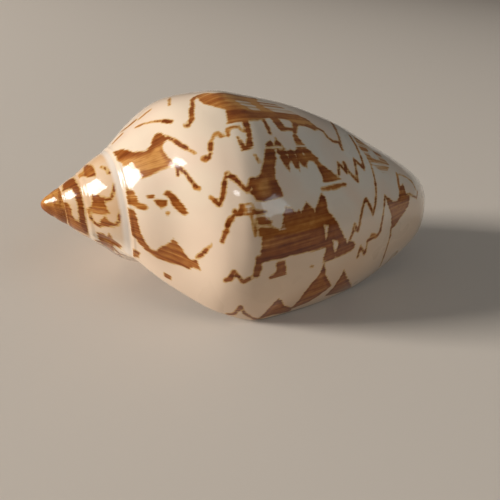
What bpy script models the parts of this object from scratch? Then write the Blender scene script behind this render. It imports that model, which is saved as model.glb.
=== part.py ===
"""Volute shell, dextral, lying on its aperture face.

One closed solid in metres, +Z up, long axis along X with the apex at -X.
The shell is one sheet that winds round its axis. A stage is the number of
turns back from the outer lip: 0 is the lip, 1 is one full turn older.
"""
import math

import bmesh
import bpy
import numpy as np
from mathutils import Matrix, Vector

for old in list(bpy.data.objects):
    bpy.data.objects.remove(old, do_unlink=True)

MM = 0.001

# Profile of the last whorl, in mm from the apex along the axis and out from
# the axis. Each point names its place and radius at the lip, and how many
# times larger each becomes in one turn of growth.
PROFILE = (
    ("attachment", 31.3, 26.8, 1.60, 1.74),
    ("upper ramp", 40.7, 32.5, 1.38, 1.90),
    ("shoulder", 48.3, 34.8, 1.33, 1.87),
    ("upper side", 61.7, 33.2, 1.30, 1.82),
    ("middle", 77.5, 29.5, 1.31, 1.85),
    ("lower side", 93.8, 22.5, 1.31, 1.91),
    ("neck", 106.1, 14.7, 1.22, 1.97),
    ("front end", 110.0, 9.9, 1.07, 2.04),
)

# The suture, the seam between whorls, and the low cone of the spire.
SUTURE_RADIUS = 15.7
SUTURE_GROWTH = 1.846
SUTURE_SLOWING = 0.018
SPIRE_SLOPE = 1.094
SPIRE_CURVE = 0.0096
SPIRE_TIP = -0.09
SPIRE_BLUNT = 2.36
SPIRE_FULLNESS = 2.63
SPIRE_FULLNESS_WIDTH = 3.84
SPIRE_BULGE = 0.04

# How far the older end of the last whorl is drawn in below the lip, in mm.
TUCK = 2.0
SPIRE_TURNS = 4.0

# The older half of the last whorl is rounder at the shoulder, the newer
# half has a low keel that ends in a blunt knob.
ROUND_SHOULDER = 2.0
KEEL_HEIGHT = 0.2
KEEL_END = 0.42
KNOB_STAGE = 0.32
KNOB_HEIGHT = 0.9

# The newest part of the last whorl: its ramp ends nearer the suture, is a
# little hollow, and turns over a fuller shoulder. Shifts in mm; then height in
# mm, middle and width, both as shares of the way down to the ramp's end.
YOUNG_SPAN = 0.45
YOUNG_RAMP = (-2.3, -0.75)
YOUNG_SHOULDER = (-0.5, 0.0)
HOLLOW = (-1.15, 0.46, 0.28)
FULL_SHOULDER = (1.0, 1.07, 0.25)

# The tip of the spire leans a little to one side, in mm across the axis.
LEAN = (-0.67, 0.58)
LEAN_END = 22.0

# Wall and aperture.
WALL = 2.6
WALL_FRONT = 1.7
NOTCH_DEPTH = 3.0
NOTCH_STAGE = 0.47
NOTCH_END = 0.60
CAVITY_END = 0.70
PLAIT_HEIGHT = 1.5
PLAIT_PLACES = (0.56, 0.64, 0.71, 0.77)
LIP_SWEEP = 0.05

# Resting pose: how the axis tilts up toward the apex and how far the shell
# is rolled about it, so that the lip and the body both touch the ground.
REST_TILT_DEG = 4.9
REST_ROLL_DEG = 123.8

# Grid: columns in one turn, rows on a spire whorl, across the lip and in all.
COLUMNS = 44
SPIRE_ROWS = 3
LIP_ROWS = 2
ROWS = 38


def smooth(x):
    """Ease from 0 to 1."""
    x = np.clip(x, 0.0, 1.0)
    return x * x * (3.0 - 2.0 * x)


def suture(stage):
    """Place along the axis and radius of the suture."""
    radius = SUTURE_RADIUS * SUTURE_GROWTH ** (-stage)
    radius = radius * math.exp(SUTURE_SLOWING * stage * stage)
    blunt = math.hypot(radius, SPIRE_BLUNT)
    place = SPIRE_SLOPE * blunt + SPIRE_CURVE * radius * radius + SPIRE_TIP
    place = place - SPIRE_FULLNESS * math.exp(-(radius / SPIRE_FULLNESS_WIDTH) ** 2)
    return np.array([place, radius])


def end_slope(h0, h1, d0, d1):
    """Slope at the end of a monotone curve."""
    slope = ((2 * h0 + h1) * d0 - h0 * d1) / (h0 + h1)
    if slope * d0 <= 0:
        return 0.0
    if d0 * d1 <= 0 and abs(slope) > 3 * abs(d0):
        return 3 * d0
    return slope


def curve_through(knots, values, at):
    """Smooth curve through the values that does not overshoot them."""
    h = np.diff(knots)
    d = np.diff(values) / h
    slopes = np.zeros(len(knots))
    for k in range(1, len(knots) - 1):
        if d[k - 1] * d[k] > 0:
            w0 = 2 * h[k] + h[k - 1]
            w1 = h[k] + 2 * h[k - 1]
            slopes[k] = (w0 + w1) / (w0 / d[k - 1] + w1 / d[k])
    slopes[0] = end_slope(h[0], h[1], d[0], d[1])
    slopes[-1] = end_slope(h[-1], h[-2], d[-1], d[-2])
    k = np.clip(np.searchsorted(knots, at, side="right") - 1, 0, len(h) - 1)
    t = (at - knots[k]) / h[k]
    first = (1 + 2 * t) * (1 - t) ** 2 * values[k]
    first = first + t * (1 - t) ** 2 * h[k] * slopes[k]
    second = t * t * (3 - 2 * t) * values[k + 1]
    return first + second - t * t * (1 - t) * h[k] * slopes[k + 1]


def profile_points(stage):
    """The suture and the named profile points at one stage of growth."""
    points = [suture(stage)]
    for name, place, radius, place_growth, radius_growth in PROFILE:
        points.append(np.array([place * place_growth ** (-stage),
                                radius * radius_growth ** (-stage)]))
    if stage >= 1.0:
        points[1] = suture(stage - 1.0)
    else:
        seam = suture(0.0)
        first = points[1]
        late = smooth((stage - 0.6) / 0.4)
        drift = seam - np.array([PROFILE[0][1] / PROFILE[0][3], PROFILE[0][2] / PROFILE[0][4]])
        points[1] = first + late * drift
    young = 1 - smooth(stage / YOUNG_SPAN)
    points[2] = points[2] + young * np.array(YOUNG_RAMP)
    points[3] = points[3] + young * np.array(YOUNG_SHOULDER)
    return np.array(points)


def drawn_in(stage, share):
    """How far the surface is drawn in below the lip. The share is 0 at the
    suture and 1 at the seam with the lip, which stays where it is."""
    spire_part = smooth(share / 0.5) * (1 - smooth((share - 0.6) / 0.4))
    whorl_part = smooth(share / 0.5) * (1 - smooth((share - 2.0) / 3.0))
    freed = smooth((1.0 - stage) / 0.05)
    height = TUCK * smooth((stage - 0.82) / 0.12) * (1 - smooth((stage - 1.0) / 0.12))
    return height * (spire_part + (whorl_part - spire_part) * freed)


def section(stage, at, skip=0.0):
    """Section of the whorl at one stage for positions 0..1 from the suture to
    the front end, and its outward normals. A skip moves the start down."""
    points = profile_points(stage)
    steps = np.hypot(np.diff(points[:, 0]), np.diff(points[:, 1]))
    knots = np.concatenate([[0.0], np.cumsum(steps)])
    length = knots[-1]
    knots = knots / length
    seam = knots[1]
    position = np.where(at < ATTACH, at / ATTACH * seam, seam + (at - ATTACH) / (1 - ATTACH) * (1 - seam))
    start = skip / length
    position = start + (1 - start) * position

    def place(s):
        out = np.stack([curve_through(knots, points[:, 0], s),
                        curve_through(knots, points[:, 1], s)], axis=1)
        chord = points[2] - points[0]
        lift = np.array([-chord[1], chord[0]]) / np.hypot(*chord)
        fullness = smooth((stage - 0.1) / 0.3) * (1 - smooth((stage - 0.7) / 0.3))
        near = np.exp(-((s / knots[2] - 0.75) / 0.40) ** 2) * np.clip(s / knots[2] / 0.3, 0, 1)
        newest = smooth(stage / 0.08) * (1 - smooth((stage - 0.18) / 0.3))
        relief = sum(height * np.exp(-((s / knots[2] - middle) / width) ** 2)
                     for height, middle, width in (HOLLOW, FULL_SHOULDER))
        return out + (ROUND_SHOULDER * fullness * near + newest * relief)[:, None] * lift

    s = position
    here = place(s)
    before = place(np.clip(s - 0.002, 0, 1))
    after = place(np.clip(s + 0.002, 0, 1))
    run = after - before
    run /= np.linalg.norm(run, axis=1)[:, None]
    normal = np.stack([-run[:, 1], run[:, 0]], axis=1)

    keel_place = 0.5 * (knots[2] + knots[3]) - 0.01
    keel = KEEL_HEIGHT * (1 - smooth(stage / KEEL_END)) * np.exp(-((s - keel_place) / 0.018) ** 2)
    knob_round = ((stage - KNOB_STAGE) / 0.030) ** 2 + ((s - keel_place) / 0.035) ** 2
    keel = keel + KNOB_HEIGHT * np.exp(-knob_round)
    inside = smooth((stage - 0.93) / 0.12)
    folds = sum(np.exp(-((s - p) / 0.015) ** 2) for p in PLAIT_PLACES)
    here = here + (keel + PLAIT_HEIGHT * inside * folds * 1.3 ** (1 - stage))[:, None] * normal
    here[:, 1] -= drawn_in(stage, s / seam)

    back = NOTCH_DEPTH * smooth((s - 0.86) / 0.14) * np.exp(-((stage - NOTCH_STAGE) / 0.09) ** 2)
    here[:, 0] -= back
    return here, normal, s


def in_space(stage, s, flat):
    """Turn section points about the axis. The lip edge sweeps back in front."""
    turn = -2 * math.pi * (stage + LIP_SWEEP * smooth((s - 0.72) / 0.28))
    return np.stack([flat[:, 0], -flat[:, 1] * np.sin(turn), flat[:, 1] * np.cos(turn)], axis=1)


# Rows: a few on the strip that shows on the spire, closer at the shoulder.
ATTACH = 0.13
row_at = [ATTACH * k / SPIRE_ROWS for k in range(SPIRE_ROWS)]
for k in range(LIP_ROWS):
    row_at.append(ATTACH + 0.032 * k / LIP_ROWS)
below = ROWS - SPIRE_ROWS - LIP_ROWS
for k in range(below + 1):
    row_at.append(ATTACH + 0.032 + (1 - ATTACH - 0.032) * k / below)
row_at = np.array(row_at)
last_row = len(row_at) - 1
glue_row = SPIRE_ROWS + LIP_ROWS

last_column = int(round(SPIRE_TURNS * COLUMNS))
cavity_column = int(round(CAVITY_END * COLUMNS))
notch_column = int(round(NOTCH_END * COLUMNS))

mesh = bmesh.new()
outer = {}


def outer_key(i, j):
    """Rows at the foot of an older whorl are the seam of the next one."""
    if i >= COLUMNS and j == SPIRE_ROWS:
        return (i - COLUMNS, 0)
    return (i, j)


def add_vertices(points):
    return [mesh.verts.new(Vector([float(c) for c in p]) * MM) for p in points]


def bulged(stage, count):
    """Strip of an older whorl between its two sutures, slightly swollen."""
    top = suture(stage)
    foot = suture(stage - 1.0)
    span = foot - top
    out = np.array([-span[1], span[0]])
    v = np.linspace(0, 1, count + 1)
    strip = top + span * v[:, None] + out * (SPIRE_BULGE * 4 * v * (1 - v))[:, None]
    strip[:, 1] -= drawn_in(stage, v)
    return strip


# Outer surface: the last whorl, the parietal wall behind it and the spire.
for i in range(last_column + 1):
    stage = i / COLUMNS
    if i <= COLUMNS + cavity_column:
        flat, normal, s = section(stage, row_at)
        points = in_space(stage, s, flat)
    if i > COLUMNS:
        flat = bulged(stage, SPIRE_ROWS)
        strip = in_space(stage, np.zeros(len(flat)), flat)
    for j in range(last_row + 1):
        if outer_key(i, j) != (i, j):
            continue
        if i > COLUMNS and j < SPIRE_ROWS:
            outer[(i, j)] = add_vertices([strip[j]])[0]
        elif i <= COLUMNS or (i <= COLUMNS + cavity_column and j >= glue_row):
            outer[(i, j)] = add_vertices([points[j]])[0]


def vertex(i, j):
    return outer[outer_key(i, j)]


# Inner side of the wall, from the lip back into the last whorl.
inner = {}
for i in range(cavity_column + 1):
    stage = i / COLUMNS
    shrink = 1.45 ** (-stage)
    deep = smooth((stage - CAVITY_END + 0.2) / 0.2)
    flat, normal, s = section(stage, row_at, skip=3.6 * shrink)
    wall = (WALL + (WALL_FRONT - WALL) * smooth((s - 0.7) / 0.3)) * shrink
    wall = wall * (0.55 + 0.45 * smooth(stage / 0.08))
    across = np.array([4.0 * deep])
    flat_in = flat - normal * (wall + across * np.sin(np.pi * np.clip(s, 0, 1)))[:, None]
    points = in_space(stage, s, flat_in)
    glue_top = np.array(vertex(i + COLUMNS, glue_row).co) / MM
    glue_front = np.array(vertex(i + COLUMNS, last_row).co) / MM
    close = 0.8 * smooth((stage - 0.25) / (NOTCH_END - 0.25))
    top_shift = glue_top - points[0]
    front_shift = (glue_front - points[-1]) * close
    for j in range(last_row + 1):
        fade_top = 1 - smooth(j / 4)
        fade_front = 1 - smooth((last_row - j) / 9)
        points[j] += top_shift * fade_top + front_shift * fade_front
    for j in range(last_row + 1):
        if j == 0:
            inner[(i, j)] = vertex(i + COLUMNS, glue_row)
        elif j == last_row and i > notch_column:
            inner[(i, j)] = vertex(i + COLUMNS, last_row)
        else:
            inner[(i, j)] = add_vertices([points[j]])[0]


def face(*corners):
    """Add a face, leaving out corners that fall together."""
    kept = []
    for corner in corners:
        if corner not in kept:
            kept.append(corner)
    if len(kept) >= 3:
        mesh.faces.new(kept)


for i in range(COLUMNS):
    for j in range(last_row):
        face(vertex(i, j), vertex(i, j + 1), vertex(i + 1, j + 1), vertex(i + 1, j))
for i in range(COLUMNS, last_column):
    for j in range(SPIRE_ROWS):
        face(vertex(i, j), vertex(i, j + 1), vertex(i + 1, j + 1), vertex(i + 1, j))
for i in range(COLUMNS, COLUMNS + cavity_column):
    for j in range(glue_row, last_row):
        face(vertex(i, j), vertex(i, j + 1), vertex(i + 1, j + 1), vertex(i + 1, j))
for i in range(cavity_column):
    for j in range(last_row):
        face(inner[(i, j)], inner[(i + 1, j)], inner[(i + 1, j + 1)], inner[(i, j + 1)])

# Rounded rim: down the lip, then along the front notch.
rim_ends = [(vertex(0, j), inner[(0, j)], (0, j)) for j in range(last_row + 1)]
rim_ends += [(vertex(i, last_row), inner[(i, last_row)], (i, last_row)) for i in range(1, notch_column + 1)]
rim = []
for number, (outside, inside, where) in enumerate(rim_ends):
    i, j = where
    if number == 0:
        rim.append([vertex(COLUMNS, SPIRE_ROWS + k) for k in range(LIP_ROWS + 1)])
        continue
    if j < last_row:
        outward = np.array(outside.co) - np.array(vertex(1, j).co)
    else:
        outward = np.array(outside.co) - np.array(vertex(i, last_row - 1).co)
        if i == 0:
            outward = outward + np.array(outside.co) - np.array(vertex(1, j).co)
    outward /= np.linalg.norm(outward)
    start = np.array(outside.co)
    end = np.array(inside.co)
    half = 0.5 * np.linalg.norm(end - start)
    row = [outside]
    for k in range(1, LIP_ROWS):
        angle = math.pi * k / LIP_ROWS
        bow = outward * half * 0.8 * math.sin(angle)
        mid = start + (end - start) * 0.5 * (1 - math.cos(angle)) + bow
        row.append(mesh.verts.new(Vector(mid)))
    row.append(inside)
    rim.append(row)
for first, second in zip(rim[:-1], rim[1:]):
    for k in range(LIP_ROWS):
        face(first[k], first[k + 1], second[k + 1], second[k])


def fan(loop, centre):
    """Close a loop with a fan round a centre."""
    middle = mesh.verts.new(Vector([float(c) for c in centre]) * MM)
    for a, b in zip(loop, loop[1:] + loop[:1]):
        if a is not b:
            mesh.faces.new((a, b, middle))


# Where the canal closes, the wall meets the columella.
closing = [vertex(COLUMNS + notch_column, last_row)] + rim[-1][::-1]
face(*closing)
face(inner[(notch_column, last_row)], vertex(COLUMNS + notch_column + 1, last_row),
     vertex(COLUMNS + notch_column, last_row))

# Tip of the columella, from the end of the canal once round.
tip_loop = [vertex(i, last_row) for i in range(notch_column, COLUMNS + notch_column + 1)]
fan(tip_loop, (101.5, 0.0, 0.0))

# Far end of the cavity, inside the whorl.
end_loop = [inner[(cavity_column, j)] for j in range(last_row + 1)]
end_loop += [vertex(COLUMNS + cavity_column, j) for j in range(last_row - 1, glue_row, -1)]
centre = sum((np.array(v.co) for v in end_loop), np.zeros(3)) / len(end_loop) / MM
fan(end_loop, centre)

# Rounded apex.
apex_loop = [vertex(i, 0) for i in range(last_column - COLUMNS, last_column + 1)]
apex_loop += [vertex(last_column, j) for j in range(1, SPIRE_ROWS)]
fan(apex_loop, (0.0, 0.0, 0.0))

bmesh.ops.remove_doubles(mesh, verts=mesh.verts, dist=1e-6)
for corner in mesh.verts:
    lean = 1 - smooth(corner.co.x / MM / LEAN_END)
    corner.co.y += LEAN[0] * MM * lean
    corner.co.z += LEAN[1] * MM * lean
bmesh.ops.recalc_face_normals(mesh, faces=mesh.faces)
bmesh.ops.triangulate(mesh, faces=mesh.faces)

# Lay the shell down: axis along X, rolled onto its aperture, apex tilted up.
pose = Matrix.Rotation(math.radians(REST_TILT_DEG), 4, "Y")
pose = pose @ Matrix.Rotation(math.radians(REST_ROLL_DEG), 4, "X")
bmesh.ops.transform(mesh, matrix=pose, verts=mesh.verts)
corners = np.array([v.co for v in mesh.verts])
low = corners.min(axis=0)
high = corners.max(axis=0)
shift = Vector((-(low[0] + high[0]) / 2, -(low[1] + high[1]) / 2, -low[2]))
bmesh.ops.translate(mesh, vec=shift, verts=mesh.verts)

data = bpy.data.meshes.new("volute_shell")
mesh.to_mesh(data)
mesh.free()
shell = bpy.data.objects.new("volute_shell", data)
bpy.context.scene.collection.objects.link(shell)

gloss = bpy.data.materials.new("polished_shell")
gloss.use_nodes = True
surface = gloss.node_tree.nodes["Principled BSDF"]
surface.inputs["Base Color"].default_value = (0.80, 0.62, 0.46, 1.0)
surface.inputs["Roughness"].default_value = 0.18
surface.inputs["Metallic"].default_value = 0.0
data.materials.append(gloss)
for polygon in data.polygons:
    polygon.use_smooth = True
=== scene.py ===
import bpy
import numpy as np
from mathutils import Matrix, Vector
from mathutils.bvhtree import BVHTree
from mathutils.interpolate import poly_3d_calc


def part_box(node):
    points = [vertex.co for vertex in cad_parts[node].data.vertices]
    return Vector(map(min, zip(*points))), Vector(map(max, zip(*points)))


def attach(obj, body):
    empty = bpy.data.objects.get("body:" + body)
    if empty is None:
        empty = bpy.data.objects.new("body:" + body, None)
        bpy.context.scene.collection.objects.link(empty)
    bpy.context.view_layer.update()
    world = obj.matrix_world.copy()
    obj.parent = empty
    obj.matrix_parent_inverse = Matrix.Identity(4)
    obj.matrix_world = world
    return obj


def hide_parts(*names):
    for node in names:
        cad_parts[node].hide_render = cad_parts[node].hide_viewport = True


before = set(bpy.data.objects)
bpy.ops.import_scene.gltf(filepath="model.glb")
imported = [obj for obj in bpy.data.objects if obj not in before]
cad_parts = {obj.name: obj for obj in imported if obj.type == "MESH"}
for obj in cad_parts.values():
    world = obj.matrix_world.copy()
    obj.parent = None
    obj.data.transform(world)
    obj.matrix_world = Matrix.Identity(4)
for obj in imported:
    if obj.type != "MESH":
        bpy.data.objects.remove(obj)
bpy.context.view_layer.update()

# The view. The shell is seen from close by, from above and from its lip side.
# The camera stands at that place in the shell's own frame, in metres, and the
# markings further down are set out through it.
PICTURE = 500
VIEW_PLACE = Vector((-0.05027, -0.10409, 0.07965))
VIEW_BEARING = np.radians(25.22)
VIEW_DOWN = np.radians(33.03)
VIEW_ROLL = np.radians(-6.27)
FOCAL_PIXELS = 472.58
SENSOR_MM = 36.0
NEAREST_SEEN = 0.01

forward = Vector((np.sin(VIEW_BEARING) * np.cos(VIEW_DOWN),
                  np.cos(VIEW_BEARING) * np.cos(VIEW_DOWN), -np.sin(VIEW_DOWN)))
level = forward.cross(Vector((0, 0, 1))).normalized()
upright = level.cross(forward)
view_up = upright * np.cos(VIEW_ROLL) + level * np.sin(VIEW_ROLL)
view_right = level * np.cos(VIEW_ROLL) - upright * np.sin(VIEW_ROLL)


def put(name, data):
    """Set a new object with this data in the scene, at the origin and unturned."""
    thing = bpy.data.objects.new(name, data)
    bpy.context.scene.collection.objects.link(thing)
    return thing


lens = bpy.data.cameras.new("view")
lens.sensor_width = SENSOR_MM
lens.lens = FOCAL_PIXELS / PICTURE * SENSOR_MM
lens.clip_start = NEAREST_SEEN
viewer = put("view", lens)
turned = Matrix((view_right, view_up, -forward)).transposed().to_4x4()
viewer.matrix_world = Matrix.Translation(VIEW_PLACE) @ turned
bpy.context.scene.camera = viewer

# The shell. One sheet of hard, polished shell, laid down by the animal at the
# lip as it turned about its axis: the last whorl outside, the older whorls as
# the spire, and the inner wall with the folded pillar seen through the mouth.

# Lengths are in mm until the shell is laid down. A stage is the number of
# turns back from the lip. A place down the whorl runs from 0 at the suture,
# past ATTACH at the seam, to 1 at the front end. A span says where a form
# begins to come and over how much, and if it has four numbers, where it begins
# to go again and over how much. An end span says only where it goes.

# Profile of the last whorl: place from the apex and radius at the lip, and
# how many times larger each gets in one turn of growth.
PROFILE = (
    ("attachment", 31.3, 26.8, 1.60, 1.74),
    ("upper ramp", 40.7, 32.5, 1.38, 1.90),
    ("shoulder", 48.3, 34.8, 1.33, 1.87),
    ("upper side", 61.7, 33.2, 1.30, 1.82),
    ("middle", 77.5, 29.5, 1.31, 1.85),
    ("lower side", 93.8, 22.5, 1.31, 1.91),
    ("neck", 106.1, 14.7, 1.22, 1.97),
    ("front end", 110.0, 9.9, 1.07, 2.04),
)
ATTACH = 0.13
SEAM_JOINING_SPAN = (0.6, 0.4)

# The suture: its radius and growth, then the blunt, full cone that it lies on
# and the number of turns up to the apex.
SUTURE_RADIUS = 15.7
SUTURE_GROWTH = 1.846
SUTURE_SLOWING = 0.018
SPIRE_SLOPE = 1.094
SPIRE_CURVE = 0.0096
SPIRE_TIP = -0.09
SPIRE_BLUNT = 2.36
SPIRE_FULLNESS = 2.63
SPIRE_FULLNESS_WIDTH = 3.84
SPIRE_BULGE = 0.04
SPIRE_TURNS = 4

# The shoulder: rounder in the older half, and near the lip a hollow ramp over
# a full shoulder, each with its height, middle and width. Near the lip the
# profile's ramp and shoulder also stand back, along the axis and across it.
ROUND_SHOULDER = 2.0
ROUND_SPAN = (0.1, 0.3, 0.7, 0.3)
ROUND_MIDDLE, ROUND_WIDTH, ROUND_START = 0.75, 0.40, 0.3
NEWEST_SPAN = (0.0, 0.08, 0.18, 0.3)
HOLLOW = (-1.15, 0.46, 0.28)
FULL_SHOULDER = (1.0, 1.07, 0.25)
YOUNG_STAGES = 0.45
YOUNG_RAMP = np.array([-2.3, -0.75])
YOUNG_SHOULDER = np.array([-0.5, 0.0])

# Where the last whorl is drawn in below the lip's end.
TUCK = 1.5
TUCK_SPAN = (0.82, 0.12, 0.99, 0.08)
TUCK_SPIRE_SPAN = (0.0, 0.5, 0.6, 0.4)
TUCK_WHORL_SPAN = (0.0, 0.5, 2.0, 3.0)
TUCK_FREED = 0.05

# The faint keel with its knob, the bead beside the suture, the folds on the
# pillar, the notch in front, and how far the lip is swept back there.
KEEL_HEIGHT, KEEL_WIDTH, KEEL_SHIFT = 0.2, 0.018, -0.01
KEEL_SPAN = (0.07, 0.09, 0.0, 0.42)
KNOB_HEIGHT, KNOB_WIDTH = 0.9, 0.035
KNOB_STAGE, KNOB_LENGTH = 0.32, 0.030
BEAD_HEIGHT, BEAD_PLACE, BEAD_WIDTH = 0.20, 0.0035, 0.0030
BEAD_END_SPAN = (0.8, 0.2)
SPIRE_BEAD_HEIGHT, SPIRE_BEAD_PLACE, SPIRE_BEAD_WIDTH = 0.32, 0.045, 0.04
SPIRE_BEAD_GROWTH = 1.5
SPIRE_BEAD_END_SPAN = (2.7, 0.3)
PLAIT_HEIGHT, PLAIT_WIDTH, PLAIT_GROWTH = 1.5, 0.015, 1.3
PLAIT_PLACES = (0.56, 0.64, 0.71, 0.77)
PLAIT_SPAN = (0.93, 0.12)
NOTCH_DEPTH, NOTCH_STAGE, NOTCH_LENGTH = 3.0, 0.47, 0.09
NOTCH_SPAN = (0.86, 0.14)
LIP_SWEEP = 0.05
LIP_SWEEP_SPAN = (0.72, 0.28)

# The wall: thinner at the front end and at the lip's edge. Its inner side
# starts off below the suture and closes on the pillar at the cavity's end.
WALL, WALL_FRONT, WALL_LIP_SHARE = 2.6, 1.7, 0.55
WALL_FRONT_SPAN = (0.7, 0.3)
WALL_LIP_STAGES = 0.08
WALL_GROWTH = 1.45
LINING_START = 3.6
CAVITY_END, CAVITY_CLOSING, CAVITY_SWELL = 0.70, 0.2, 4.0
FRONT_CLOSING = 0.8
FRONT_CLOSING_SPAN = (0.25, 0.35)
TOP_RANKS, FRONT_RANKS, RANKS = 4, 9, 38.0
RIM_FULLNESS = 0.8
PILLAR_END = np.array([101.5, 0.0, 0.0])
PILLAR_RINGS = np.array([0.8, 0.6, 0.4, 0.2])
APEX_RINGS = np.array([0.85, 0.7, 0.55, 0.4, 0.25, 0.12])

# How the shell lies: its axis is bent a little at the spire, then it is
# tilted and rolled onto its mouth.
LEAN = np.array([-0.67, 0.58])
LEAN_END = 22.0
REST_TILT = np.radians(4.9)
REST_ROLL = np.radians(123.8)

# Grid of the sheet. The columns stand close over the side that shows, and
# wider over the far side.
CLOSE_COLUMNS = 280
CLOSE_STEP = 0.002
WIDE_COLUMNS = 88
WIDE_STEP = 0.005
TURN = CLOSE_COLUMNS + WIDE_COLUMNS
NOTCH_COLUMN = CLOSE_COLUMNS + 8
CAVITY_COLUMN = CLOSE_COLUMNS + 28
SPIRE_ROWS = 30
SPIRE_CROWDING = 1.15
RIM_ROWS = 6
RIM_SHARE = 0.032
LOW_ROWS = 150
GLUE_ROW = SPIRE_ROWS + RIM_ROWS
LAST_ROW = GLUE_ROW + LOW_ROWS
SMALL_STEP = 0.002


def ease(x):
    """Ease from 0 to 1: three x squared less two x cubed, held at both ends."""
    x = np.clip(x, 0.0, 1.0)
    return x * x * (3.0 - 2.0 * x)


def onset(x, start, over):
    """Ease from 0 at the start to 1 a length further on."""
    return ease((x - start) / over)


def hump(x, start, over, stop, off):
    """Ease from 0 to 1 over a length, times ease from 1 to 0 over another."""
    return onset(x, start, over) * (1 - onset(x, stop, off))


def bell(x, middle, width):
    """Bell curve: e to the minus of (x less the middle, over the width) squared."""
    return np.exp(-((x - middle) / width) ** 2)


def suture(stage):
    """Place and radius of the seam between whorls. The radius falls by a fixed
    factor a turn; the place is a cone with a curve and a rounded tip."""
    radius = SUTURE_RADIUS * SUTURE_GROWTH ** (-stage) * np.exp(SUTURE_SLOWING * stage ** 2)
    place = SPIRE_SLOPE * np.hypot(radius, SPIRE_BLUNT) + SPIRE_CURVE * radius ** 2 + SPIRE_TIP
    place = place - SPIRE_FULLNESS * bell(radius, 0.0, SPIRE_FULLNESS_WIDTH)
    return np.stack([place, radius], axis=-1)


def profile_points(stage):
    """The suture, then the named points, each shrunk by its growth to the power
    of the stage. Past one turn the attachment point is the next whorl's suture."""
    given = np.array([row[1:] for row in PROFILE])
    named = given[:, :2] * given[:, 2:] ** (-stage[:, None, None])
    old = given[0, :2] / given[0, 2:]
    late = onset(stage, *SEAM_JOINING_SPAN)[:, None]
    drift = named[:, 0] + late * (suture(np.zeros(1)) - old)
    named[:, 0] = np.where(stage[:, None] >= 1.0, suture(np.maximum(stage - 1.0, 0.0)), drift)
    young = (1 - ease(stage / YOUNG_STAGES))[:, None]
    named[:, 1] += young * YOUNG_RAMP
    named[:, 2] += young * YOUNG_SHOULDER
    return np.concatenate([suture(stage)[:, None], named], axis=1)


def end_slope(h0, h1, d0, d1):
    """Slope at a free end: the three-point slope, held to the side of the first
    step and to three times its steepness."""
    slope = ((2 * h0 + h1) * d0 - h0 * d1) / (h0 + h1)
    slope = np.where(slope * d0 <= 0, 0.0, slope)
    return np.where((d0 * d1 <= 0) & (np.abs(slope) > 3 * np.abs(d0)), 3 * d0, slope)


def curve_through(knots, values, at):
    """Smooth curve through each stage's points that never overshoots them: cubic
    pieces whose slopes are weighted harmonic means of the neighbouring steps."""
    h = np.diff(knots, axis=1)[..., None]
    d = np.diff(values, axis=1) / h
    w0 = 2 * h[:, 1:] + h[:, :-1]
    w1 = h[:, 1:] + 2 * h[:, :-1]
    same = d[:, :-1] * d[:, 1:] > 0
    before = np.where(same, d[:, :-1], 1.0)
    after = np.where(same, d[:, 1:], 1.0)
    slopes = np.zeros_like(values)
    slopes[:, 1:-1] = np.where(same, (w0 + w1) / (w0 / before + w1 / after), 0.0)
    slopes[:, 0] = end_slope(h[:, 0], h[:, 1], d[:, 0], d[:, 1])
    slopes[:, -1] = end_slope(h[:, -1], h[:, -2], d[:, -1], d[:, -2])
    k = (at[:, :, None] >= knots[:, None, 1:-1]).sum(axis=2)
    rows = np.arange(len(at))[:, None]
    step = h[rows, k]
    t = (at[..., None] - knots[rows, k][..., None]) / step
    u = 1 - t
    first = (1 + 2 * t) * u ** 2 * values[rows, k] + t * u ** 2 * step * slopes[rows, k]
    second = t * t * (3 - 2 * t) * values[rows, k + 1] - t * t * u * step * slopes[rows, k + 1]
    return first + second


def drawn_in(stage, share):
    """How far the surface is drawn in below the lip: a soft hump in the stage
    round the first turn. Up to there it reaches past the seam, then it is held at
    the seam. The share is 0 at the suture and 1 at the seam."""
    on_spire = hump(share, *TUCK_SPIRE_SPAN)
    on_whorl = hump(share, *TUCK_WHORL_SPAN)
    freed = ease((1.0 - stage) / TUCK_FREED)
    return TUCK * hump(stage, *TUCK_SPAN) * (on_spire + (on_whorl - on_spire) * freed)


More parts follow.
